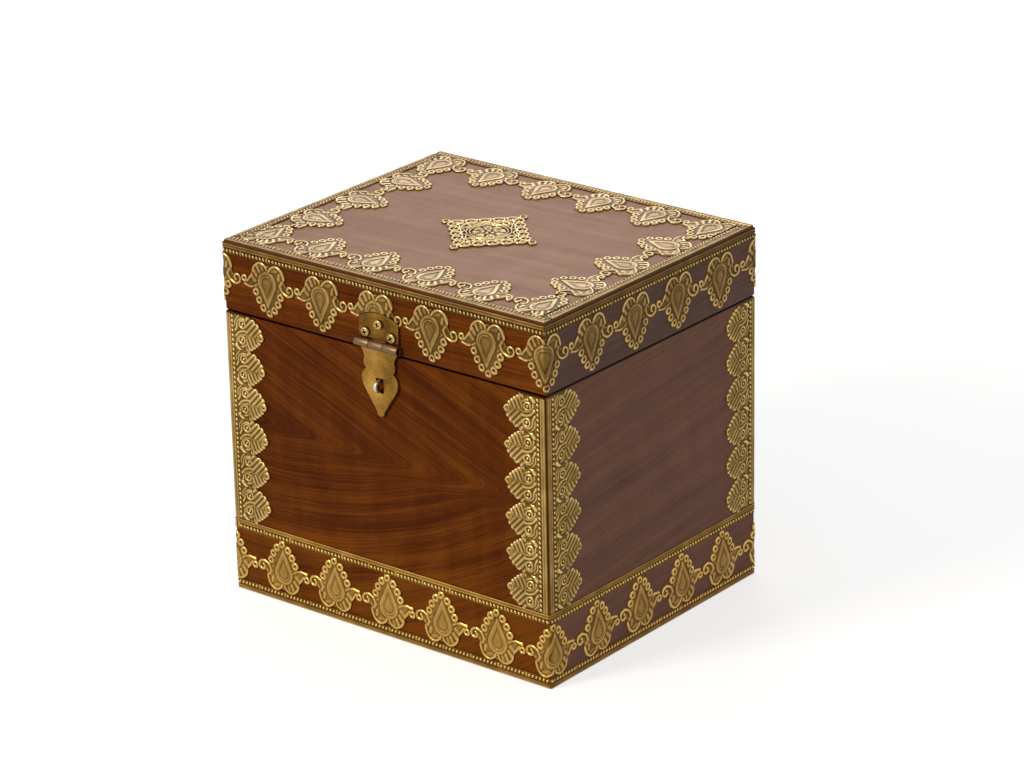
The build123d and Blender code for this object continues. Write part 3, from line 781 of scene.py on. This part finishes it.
def beads(s, v, size, lean, place, rounds=10):
    """A row of oval beads raised from the sheet, each leaning along the strip."""
    long, wide, high = size
    levels = ((1.0, 0.0), (0.82, 0.62), (0.42, 0.94))  # share of its size, share of its height
    turns = np.arange(rounds) * 2 * math.pi / rounds
    rings = [
        (share * (wide * math.cos(turn) + long * lean * math.sin(turn)) / 2,
         share * long * math.sin(turn) / 2, level)
        for share, level in levels
        for turn in turns
    ]
    local = np.array([*rings, (0.0, 0.0, 1.0)])
    along = s[:, None] + local[:, 0]
    across = v + local[:, 1] + 0 * along
    rise = bead_floor + high * local[:, 2] + 0 * along
    points = place(along.ravel(), across.ravel(), rise.ravel())
    first = np.arange(rounds)
    second = (first + 1) % rounds
    belt = np.stack((first, second, second + rounds, first + rounds), -1)
    quads = np.concatenate((belt, belt + rounds))
    apex = np.full(rounds, 3 * rounds)
    cap = np.stack((first + 2 * rounds, second + 2 * rounds, apex), -1)
    start = (np.arange(len(s)) * len(local))[:, None, None]
    faces = [(quads + start).reshape(-1, 4), (cap + start).reshape(-1, 3)]
    # A bead's relief is its height, so its top is drawn bright as painted highlight and its base dark
    # as painted shade
    return turned_out(points, faces, rise.ravel() / most_rise, place, s[0], v)


def build(name, parts, surface, body, replaced):
    """One piece from several parts, riding on a body in place of nodes."""
    points = np.concatenate([part[0] for part in parts]) * MM
    starts = np.cumsum([0] + [len(part[0]) for part in parts])
    faces = [face + start for part, start in zip(parts, starts) for face in part[1]]
    corners_of = np.concatenate([face.ravel() for face in faces])
    sizes = np.concatenate([np.full(len(face), face.shape[1]) for face in faces])
    mesh = bpy.data.meshes.new(name)
    mesh.vertices.add(len(points))
    mesh.vertices.foreach_set("co", points.ravel())
    mesh.loops.add(len(corners_of))
    mesh.loops.foreach_set("vertex_index", corners_of)
    mesh.polygons.add(len(sizes))
    mesh.polygons.foreach_set("loop_start", np.cumsum(sizes) - sizes)
    mesh.update(calc_edges=True)
    mesh.validate()
    relief = mesh.attributes.new("relief", "FLOAT", "POINT")
    relief.data.foreach_set("value", np.concatenate([part[2] for part in parts]))
    mesh.shade_smooth()
    mesh.set_sharp_from_angle(angle=math.radians(60))
    mesh.materials.append(surface)
    dressing(name, mesh, body, replaced)


# ---- laying strip

# Each wall's way out and its way along, rightwards, how far out it stands and how long it is, and
# where it starts on a strip that runs rightwards from the middle of the front
wall_sides = {"left": (-1, 0), "front": (0, -1), "right": (1, 0), "back": (0, 1)}
wall_order = list(wall_sides)
wall_out, wall_run, wall_stand, wall_length, wall_start = {}, {}, {}, {}, {}
round_start = -half_width - 2 * half_depth
round_end = round_start
for wall, (x, y) in wall_sides.items():
    wall_out[wall] = np.array((x, y, 0.0))
    wall_run[wall] = np.array((-y, x, 0.0))
    wall_stand[wall] = half_width if x else half_depth
    wall_length[wall] = 2 * (half_depth if x else half_width)
    wall_start[wall] = round_end
    round_end += wall_length[wall]
wall_corners = [wall_start[wall] for wall in wall_order[1:]]

band_profile = ((0.0, 0.5), (0.25, 0.82), (0.6, 0.85), (0.85, 0.6), (1.65, 0.6), (1.85, 0.8),
                (2.15, 0.8), (2.35, bead_floor), (4.95, bead_floor), (5.05, 0.62), (5.3, 0.62),
                (band, 0.4))
leaf_profile = ((0.0, 0.45), (0.3, 0.72), (1.0, 0.78), (1.2, 0.62), (1.9, 0.62), (2.1, 0.78),
                (2.6, 0.78), (2.9, bead_floor), (4.9, bead_floor), (5.0, 0.6),
                (leaf_band + 0.1, 0.6))
lap = 0.25  # of the pendants or leaves under their band
station_pitch = 4.0  # along a band, between folds
band_wear_and_light = 0.66  # how bright a band is drawn for its height: rubbed wear, with painted highlight high up and painted shade low down
# The top's band is drawn paler for its height, as painted sheen
top_wear_and_sheen = 0.8
# The leaf strips' band is drawn brighter too, as painted highlight on its border
leaf_wear_and_light = 0.84


def round_the_walls(s, out):
    """x and y of places on a strip folded round the four walls."""
    x, y = np.zeros(len(s)), np.zeros(len(s))
    for wall in wall_order:
        here = (s >= wall_start[wall]) & (s <= wall_start[wall] + wall_length[wall])
        run = s - wall_start[wall] - wall_length[wall] / 2
        stand = wall_stand[wall] + out
        x = np.where(here, wall_out[wall][0] * stand + wall_run[wall][0] * run, x)
        y = np.where(here, wall_out[wall][1] * stand + wall_run[wall][1] * run, y)
    folds = [(wall_start[wall], wall_order[i - 1], wall) for i, wall in enumerate(wall_order)]
    for corner, first, second in [*folds, (round_end, "back", "left")]:
        turn = (s - corner + fold) / (2 * fold) * math.pi / 2
        bent = np.abs(s - corner) < fold
        one, two = wall_out[first], wall_out[second]
        for i, axis in enumerate((x, y)):
            centre = one[i] * (wall_stand[first] - fold) + two[i] * (wall_stand[second] - fold)
            arm = (fold + out) * (one[i] * np.cos(turn) + two[i] * np.sin(turn))
            axis[bent] = (centre + arm)[bent]
    return x, y


def on_walls(edge, way):
    """Places a strip round the walls, its outer edge level and the strip going up or down."""

    def place(s, v, out):
        x, y = round_the_walls(s, out)
        return np.stack((x, y, edge + way * v), -1)

    return place


def on_face(origin, along, inward):
    """Places a flat strip from the middle of its outer edge."""
    origin, along, inward = (np.array(part, float) for part in (origin, along, inward))
    out = np.cross(along, inward)

    def place(s, v, rise):
        return origin + s[:, None] * along + v[:, None] * inward + rise[:, None] * out

    return place


def band_part(start, end, place, stops=(), wear_and_light=band_wear_and_light):
    """The plain border and the channel of a strip, as one rolled profile."""
    folds = [stop + fold * k / 4 for stop in stops for k in range(-4, 5)]
    s = np.unique(np.clip([*np.arange(start, end, station_pitch), end, *folds], start, end))
    return rolled(band_profile, s, place, wear_and_light)


def bead_parts(start, end, phase, place):
    """Bead runs with a tie block after each."""
    bead_clear = 0.9
    tie_clear = 1.4
    middle = border + bead_row / 2
    first = math.ceil((start - phase) / run_pitch)
    last = math.floor((end - phase) / run_pitch)
    ties = phase + run_pitch * np.arange(first, last + 1)
    in_run = bead_pitch * (np.arange(beads_in_run) - (beads_in_run - 1) / 2) + run_pitch / 2
    places = (phase + run_pitch * np.arange(first - 1, last + 1)[:, None] + in_run).ravel()
    places = places[(places > start + bead_clear) & (places < end - bead_clear)]
    ties = ties[(ties > start + tie_clear) & (ties < end - tie_clear)]
    return [
        beads(places, middle, bead_size, bead_lean, place),
        beads(ties, middle, tie_size, 0.0, place),
    ]


def pendant_part(start, end, phase, place, turned, reserve=None):
    """The pendants of a strip. Turned ones stand up. reserve is the distance clear of a cover."""
    half = pendant_cells // 2
    u = np.arange(-half, half + 1) * pendant_step
    drawn_v = np.linspace(band - lap, pendant_reach + 0.1, pendant_rows)
    drawn_inside, drawn_height = pendant(*np.meshgrid(u, drawn_v, indexing="ij"))
    v = band + (drawn_v - band) * pendant_stretch
    first = math.ceil((start - phase) / pendant_step)
    last = math.floor((end - phase) / pendant_step)
    steps = np.arange(first, last + 1)
    s = phase + steps * pendant_step
    column = ((-steps if turned else steps) + half) % pendant_cells
    inside, height = drawn_inside[column], drawn_height[column]
    if reserve:
        inside = np.minimum(inside, reserve(*np.meshgrid(s, v, indexing="ij")))
    return pressed(s, v, inside, height, place, relief_wear_and_light(height))


def pendant_strip(start, end, phase, place, turned, stops=(), reserve=None):
    """A whole strip: band, beads and pendants."""
    return [
        band_part(start, end, place, stops),
        *bead_parts(start, end, phase, place),
        pendant_part(start, end, phase, place, turned, reserve),
    ]


def leaf_strip(length, place):
    """A whole leaf strip, centred on its length."""
    pitch = length / leaf_count
    u = (np.arange(leaf_cells + 1) / leaf_cells - 0.5) * pitch
    v = np.linspace(leaf_band - lap, leaf_reach, leaf_rows)
    drawn_inside, drawn_height = leaf(*np.meshgrid(-u, v, indexing="ij"))
    steps = np.arange(leaf_count * leaf_cells + 1)
    s = (steps / leaf_cells - leaf_count / 2) * pitch
    inside, height = drawn_inside[steps % leaf_cells], drawn_height[steps % leaf_cells]
    count = round(length / leaf_bead_pitch)
    row = (np.arange(count) + 0.5) / count * length - length / 2
    bead_line = leaf_border + leaf_bead_row / 2 + 0.05
    stations = np.linspace(-length / 2, length / 2, 28)
    return [
        rolled(leaf_profile, stations, place, leaf_wear_and_light),
        beads(row, bead_line, leaf_bead_size, leaf_bead_lean, place),
        pressed(s, v, inside, height, place, relief_wear_and_light(height)),
    ]


# ---- finishes

# The same stamped brass is golden low on the chest, greyer with age beside the corners and darkened by
# hands on the lid's sides. On the lid's top it is painted paler, as painted sheen from the light it
# faces.
base_brass = stamped_metal("stamped_brass_golden", "#5c431a", "#987336", "#cca65a", 0.28)
leaf_brass = stamped_metal("stamped_brass_antique", "#58441e", "#84662f", "#cdae70", 0.26)
lid_brass = stamped_metal("stamped_brass_handled", "#483414", "#745628", "#b8985c", 0.28)
top_brass_sheen = stamped_metal("stamped_brass_painted_sheen", "#443420", "#7a6240", "#ccb080", 0.25)
cast_brass = stamped_metal("cast_brass_medallion", "#3a2c18", "#745a32", "#ccb484", 0.24)
screw_metal = stamped_metal("brassed_screw_steel", "#30220e", "#7e6439", "#c2a66c", 0.3)

# Rolled brass is flatter and duller than stamped, and the steel stays white or grey beside it
barrel_colour = "#745b3f"
strap_brass = sheet_metal(
    "rolled_brass_strap", "#63481c", "#926b2a", "#b28c42", 0.36, 14.0, barrel_colour
)
plate_brass = sheet_metal(
    "rolled_brass_plate", "#48300c", "#6f4e19", "#8a652b", 0.4, 12.0, barrel_colour
)
hinge_brass = sheet_metal("rolled_brass_dull", "#4f3a18", "#7a5c2c", "#97784a", 0.42, 12.0)
bright_steel = sheet_metal("nickelled_steel", "#7b756a", "#b5aea0", "#dad4c6", 0.2, 6.0)
dull_steel = sheet_metal("drawn_steel_wire", "#2b2825", "#47433d", "#656058", 0.4, 5.0)

front_oil = "#e07810"
side_oil = "#fff0e4"
side_rise = math.radians(6)
side_grain = straight_grain(
    (0, math.cos(side_rise), math.sin(side_rise)), (0, -math.sin(side_rise), math.cos(side_rise))
)
wood_front = rosewood(
    "sheesham_feather", feather_grain, ("#260e02", "#522405", "#743e0c"), 0.1, front_oil,
    waver=3.0, pale_foot=0.1,
)
wood_side = rosewood("sheesham_side", side_grain, ("#422412", "#653a23", "#784a34"), 0.3, side_oil)
wood_back = rosewood(
    "sheesham_back", straight_grain((1, 0, 0), (0, 0, 1)), ("#2b0f04", "#542409", "#6f3810"),
    0.15, "#ffd2a0",
)
wood_rail = rosewood(
    "sheesham_rail", straight_grain((1, 0, 0.03), (-0.03, 0, 1)),
    ("#260d03", "#582806", "#7a420f"), 0.1, front_oil, waver=3.0,
)
wood_rail_side = rosewood(
    "sheesham_rail_side", straight_grain((0, 1, 0.05), (0, -0.05, 1)),
    ("#2e190d", "#4a2b1a", "#5c3a2a"), 0.3, side_oil,
)
wood_top = rosewood(
    "sheesham_top", straight_grain((1, 0.04, 0), (-0.04, 1, 0)),
    ("#66381a", "#7c4b26", "#8c5a30"), 0.3, "#ffe6cc", roughness=0.42,
)
wood_bottom = rosewood(
    "sheesham_bottom", straight_grain((1, 0, 0), (0, 1, 0)), ("#4a2d18", "#6e4826", "#8a6238"),
    0.3, "#ffffff", roughness=0.6,
)

node_finish = {
    "front_panel": wood_front,
    "right_panel": wood_side,
    "left_panel": wood_side,
    "back_panel": wood_back,
    "bottom_board": wood_bottom,
    "lid_front_rail": wood_rail,
    "lid_back_rail": wood_rail,
    "lid_right_rail": wood_rail_side,
    "lid_left_rail": wood_rail_side,
    "lid_top_board": wood_top,
    "hasp_pin": dull_steel,
    "hinge_pin_left": dull_steel,
    "hinge_pin_right": dull_steel,
    "medallion_pins": strap_brass,
}
for name, finish in node_finish.items():
    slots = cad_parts[name].data.materials
    for i in range(len(slots)):
        slots[i] = finish

# ---- eased metal parts

weld = 0.002  # points closer than this are one


def eased(name, source, finish, body, width, cuts=2):
    """A node's own shape with its sharp edges eased, as a tumbled pressing has them."""
    sharp_angle = math.radians(35)
    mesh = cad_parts[source].data.copy()
    mesh.name = name
    work = bmesh.new()
    work.from_mesh(mesh)
    bmesh.ops.remove_doubles(work, verts=work.verts, dist=weld * MM)
    bmesh.ops.dissolve_limit(work, angle_limit=math.radians(1), verts=work.verts, edges=work.edges)
    sharp = [e for e in work.edges if e.is_manifold and e.calc_face_angle(0) > sharp_angle]
    bmesh.ops.bevel(
        work, geom=sharp, offset=width * MM, segments=cuts, profile=0.5, affect="EDGES",
        clamp_overlap=True,
    )
    work.to_mesh(mesh)
    work.free()
    mesh.materials.clear()
    mesh.materials.append(finish)
    mesh.shade_smooth()
    mesh.set_sharp_from_angle(angle=sharp_angle)
    dressing(name, mesh, body, [source])


eased("hasp_plate_eased", "hasp_plate", plate_brass, "lid", 0.3)
eased("hasp_strap_eased", "hasp_strap", strap_brass, "hasp_flap", 0.3)
eased("staple_rounded", "hasp_staple", bright_steel, "chest_body", 0.6, 3)
for hand in ("left", "right"):
    for leaf_name, body in (("lid_leaf", "lid"), ("body_leaf", "chest_body")):
        eased(
            f"{leaf_name}_{hand}_eased", f"hinge_{leaf_name}_{hand}", hinge_brass, body,
            0.25,
        )


def loose_parts(source):
    """The lowest and highest corners of each separate solid in a node, in millimetres."""
    work = bmesh.new()
    work.from_mesh(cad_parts[source].data)
    bmesh.ops.remove_doubles(work, verts=work.verts, dist=weld * MM)
    waiting = set(work.verts)
    boxes = []
    while waiting:
        found = [waiting.pop()]
        for vert in found:
            for edge in vert.link_edges:
                other = edge.other_vert(vert)
                if other in waiting:
                    waiting.remove(other)
                    found.append(other)
        places = np.array([vert.co for vert in found]) / MM
        boxes.append((places.min(0), places.max(0)))
    work.free()
    return sorted(boxes, key=lambda box: tuple(np.round(box[0], 3)))


def screw_head(low, high, outward, dome_height, turn):
    """A domed head with a cross recess, on the outer side of a screw's box."""
    grid = 0.12
    squareness = 2.6  # 2 would be a dome as round as a ball
    cross_slope = 0.15
    radius = (high[0] - low[0]) / 2
    blade = 0.17 * radius
    cross_reach = 0.60 * radius
    cross_depth = 0.5 * dome_height
    middle = (low + high) / 2
    seat = high[1] - dome_height if outward > 0 else low[1] + dome_height
    place = on_face((middle[0], seat, middle[2]), (-outward, 0, 0), (0, 0, 1))
    line = np.arange(-radius - grid, radius + grid + 0.01, grid)
    across, up = np.meshgrid(line, line, indexing="ij")
    away = np.hypot(across, up)
    swelling = np.sqrt(np.clip(1 - (away / radius) ** squareness, 0, 1))
    dome = dome_height * (0.45 + 0.55 * swelling)
    one = across * math.cos(turn) + up * math.sin(turn)
    two = up * math.cos(turn) - across * math.sin(turn)
    arms_of_cross = np.maximum(blade - np.abs(one), blade - np.abs(two))
    sunk = np.clip(np.minimum(arms_of_cross, cross_reach - away) / cross_slope, 0, 1)
    # The cross recess is drawn dark, as painted shade, and the head a little darker towards its rim
    wear_and_light = 0.85 - 0.2 * away / radius - 0.75 * sunk
    return pressed(line, line, radius - away, dome - cross_depth * sunk, place, wear_and_light)


def screws(name, source, outward, dome_height, finish, body):
    """Every screw of a node, each driven home at an angle of its own."""
    heads = [
        screw_head(low, high, outward, dome_height, 0.35 + 0.9 * i)
        for i, (low, high) in enumerate(loose_parts(source))
    ]
    build(name, heads, finish, body, [source])


# ---- strips round the chest

base_edge = corners("base_trim")[0][2]
lid_edge = lid_top - lid_margin
bead_edge = corners("base_bead_strip")[1][2]

base_place = on_walls(base_edge, 1)
build(
    "base_pendant_strip",
    pendant_strip(round_start, round_end, 0.0, base_place, True, wall_corners),
    base_brass, "chest_body", ["base_trim"],
)

bead_place = on_walls(bead_edge, -1)
bead_strip = [
    band_part(round_start, round_end, bead_place, wall_corners),
    *bead_parts(round_start, round_end, 5.0, bead_place),
]
build(
    "base_border_strip", bead_strip, base_brass, "chest_body", ["base_bead_strip"]
)

plate_high = corners("hasp_plate")[1]
plate_arch = 25.3  # radius of the plate's arched top
hinge_boxes = [corners(f"hinge_lid_leaf_{hand}") for hand in ("left", "right")]


def clear_of_covers(s, v):
    """Distance clear of the hasp's plate and the hinges' leaves, on the lid's strip."""
    height = lid_edge - v
    arch = ball(s, height, (0, plate_high[2] - plate_arch), plate_arch)
    covers = [np.minimum(arch, plate_high[0] - np.abs(s))]
    for low, high in hinge_boxes:
        middle = wall_start["back"] + half_width - (low[0] + high[0]) / 2
        half_long = (high[0] - low[0]) / 2
        covers += [np.minimum(half_long - np.abs(s - middle), high[2] - height)]
    return -np.maximum.reduce(covers) - cover_gap


lid_place = on_walls(lid_edge, -1)
build(
    "lid_pendant_strip",
    pendant_strip(round_start, round_end, half_width, lid_place, False, wall_corners, clear_of_covers),
    lid_brass, "lid", ["lid_side_trim"],
)

# ---- leaf strips

leaf_low, leaf_high = corners("corner_trim_front_left")
leaf_middle = (leaf_low[2] + leaf_high[2]) / 2
leaf_length = leaf_high[2] - leaf_low[2]
neighbours = {"front": ("left", "right"), "right": ("front", "back"),
              "back": ("right", "left"), "left": ("back", "front")}

for wall, ends in neighbours.items():
    along, out = wall_run[wall], wall_out[wall]
    for end, neighbour in zip((-1, 1), ends):
        from_middle = end * (wall_length[wall] / 2 - corner_margin)
        origin = out * wall_stand[wall] + along * from_middle + np.array((0, 0, leaf_middle))
        build(
            f"leaf_strip_{wall}_{neighbour}",
            leaf_strip(leaf_length, on_face(origin, (0, 0, end), -end * along)),
            leaf_brass, "chest_body", [f"corner_trim_{wall}_{neighbour}"],
        )

# ---- strips on the lid's top

end_gap = 0.3  # from a strip's last pendant to the strip across its end
for wall in wall_order:
    along, out = wall_run[wall], wall_out[wall]
    low, high = corners(f"lid_top_trim_{wall}")
    half_long = abs((high - low) @ along) / 2
    if wall in ("front", "back"):
        reach = half_long - band - end_gap
        phase = pendant_pitch / 2
    else:
        reach = half_depth - top_margin - pendant_reach - end_gap
        phase = 0.0
    origin = out * (wall_stand[wall] - top_margin) + np.array((0, 0, lid_top))
    place = on_face(origin, along, -out)
    parts = [
        band_part(-half_long, half_long, place, wear_and_light=top_wear_and_sheen),
        *bead_parts(-half_long, half_long, 0.0, place),
        pendant_part(-reach, reach, phase, place, True),
    ]
    build(
        f"top_strip_{wall}", parts, top_brass_sheen, "lid", [f"lid_top_trim_{wall}"]
    )

# ---- medallion and screws

medallion_line = np.linspace(-medallion_reach, medallion_reach, medallion_lines)
medallion_fields = medallion_work(*np.meshgrid(medallion_line, medallion_line, indexing="ij"))
diagonal = math.sqrt(0.5)
medallion_place = on_face((0, 0, lid_top), (diagonal, diagonal, 0), (-diagonal, diagonal, 0))
medallion_part = pressed(
    medallion_line, medallion_line, *medallion_fields, medallion_place, relief_wear_and_light(medallion_fields[1])
)
build("medallion_filigree", [medallion_part], cast_brass, "lid", ["medallion"])

screws("hasp_screw_heads", "hasp_screws", -1, 1.4, screw_metal, "lid")
screws("hinge_body_screw_heads", "hinge_body_screws", 1, 0.6, dull_steel, "chest_body")
screws("hinge_lid_screw_heads", "hinge_lid_screws", 1, 0.6, dull_steel, "lid")

# ---- camera, floor and light


def studio_camera():
    """A long lens that looks down on the chest's front right corner, with a slight roll."""
    chest_width = 2 * half_width * MM
    distance = 10.3633 * chest_width
    aim_right = 0.0488 * chest_width
    aim_up = 0.4952 * chest_width
    azimuth = math.radians(38.9535)
    elevation = math.radians(21.5961)
    roll = math.radians(1.1929)
    focal_pixels = 4090.27
    frame_pixels = 1024
    sensor = 36.0
    level = math.cos(elevation)
    back = Vector((math.sin(azimuth) * level, -math.cos(azimuth) * level, math.sin(elevation)))
    right = Vector((math.cos(azimuth), math.sin(azimuth), 0))
    up = back.cross(right)
    turned_right = right * math.cos(roll) - up * math.sin(roll)
    turned_up = right * math.sin(roll) + up * math.cos(roll)
    data = bpy.data.cameras.new("camera")
    data.sensor_width = sensor
    data.lens = focal_pixels / frame_pixels * sensor
    data.clip_end = 50
    camera = in_scene("camera", data)
    camera.matrix_world = Matrix.Translation(
        right * aim_right + up * aim_up + back * distance
    ) @ Matrix((turned_right, turned_up, back)).transposed().to_4x4()
    bpy.context.scene.camera = camera


def seen_directly(tree):
    """1 for rays that look straight, or by way of gloss or glass, and 0 for light's own paths."""
    path = node(tree, "LightPath").outputs
    first = node(
        tree, "Math", {0: path["Is Camera Ray"], 1: path["Is Glossy Ray"]},
        operation="MAXIMUM",
    )
    return node(tree, "Math", {0: first, 1: path["Is Transmission Ray"]}, operation="MAXIMUM")


def studio_floor():
    """White paper, seen as white and darkened only where the chest keeps the light off it."""
    half = 6000
    glow_strength = 0.66  # brings the lit paper just up to white
    made, tree = material("paper_floor")
    paper = node(tree, "BsdfDiffuse", {"Color": paint("#bcbcbc")})
    glow = node(tree, "Emission", {"Color": paint("#ffffff"), "Strength": glow_strength})
    lit = node(tree, "AddShader", {0: paper, 1: glow})
    mixed = node(tree, "MixShader", {"Fac": seen_directly(tree), 1: paper, 2: lit})
    finish_material(tree, mixed)
    mesh = bpy.data.meshes.new("floor")
    points = [(x * half * MM, y * half * MM, 0) for x, y in ((-1, -1), (1, -1), (1, 1), (-1, 1))]
    mesh.from_pydata(points, [], [(0, 1, 2, 3)])
    mesh.materials.append(made)
    in_scene("floor", mesh)


def studio_world():
    """An even pale room, seen as white."""
    room_light = 0.5
    seen_light = 1.0
    world = bpy.data.worlds.new("room")
    bpy.context.scene.world = world
    world.use_nodes = True
    tree = world.node_tree
    tree.nodes.clear()
    ambient, shown = (
        node(tree, "Background", {"Color": paint("#ffffff"), "Strength": strength})
        for strength in (room_light, seen_light)
    )
    mixed = node(tree, "MixShader", {"Fac": seen_directly(tree), 1: ambient, 2: shown})
    node(tree, "OutputWorld", {"Surface": mixed})


def soft_lamp(name, place, size, power, colour):
    """A square soft box aimed at the middle of the chest, in metres and watts."""
    middle_height = 0.09
    data = bpy.data.lights.new(name, "AREA")
    data.size = size
    data.energy = power
    data.color = paint(colour)[:3]
    lamp = in_scene(name, data)
    lamp.location = place
    aim = Vector((0, 0, middle_height)) - lamp.location
    lamp.rotation_euler = aim.to_track_quat("-Z", "Y").to_euler()


studio_camera()
studio_floor()
studio_world()
soft_lamp("key", (-0.45, -1.3, 0.95), 0.45, 15.0, "#fff4e2")
soft_lamp("top", (-0.8, 1.05, 0.95), 0.6, 3.5, "#fffaf4")
soft_lamp("side", (1.5, 0.35, 0.75), 0.6, 0.9, "#f4f2ff")
bpy.context.scene.view_settings.view_transform = "Standard"
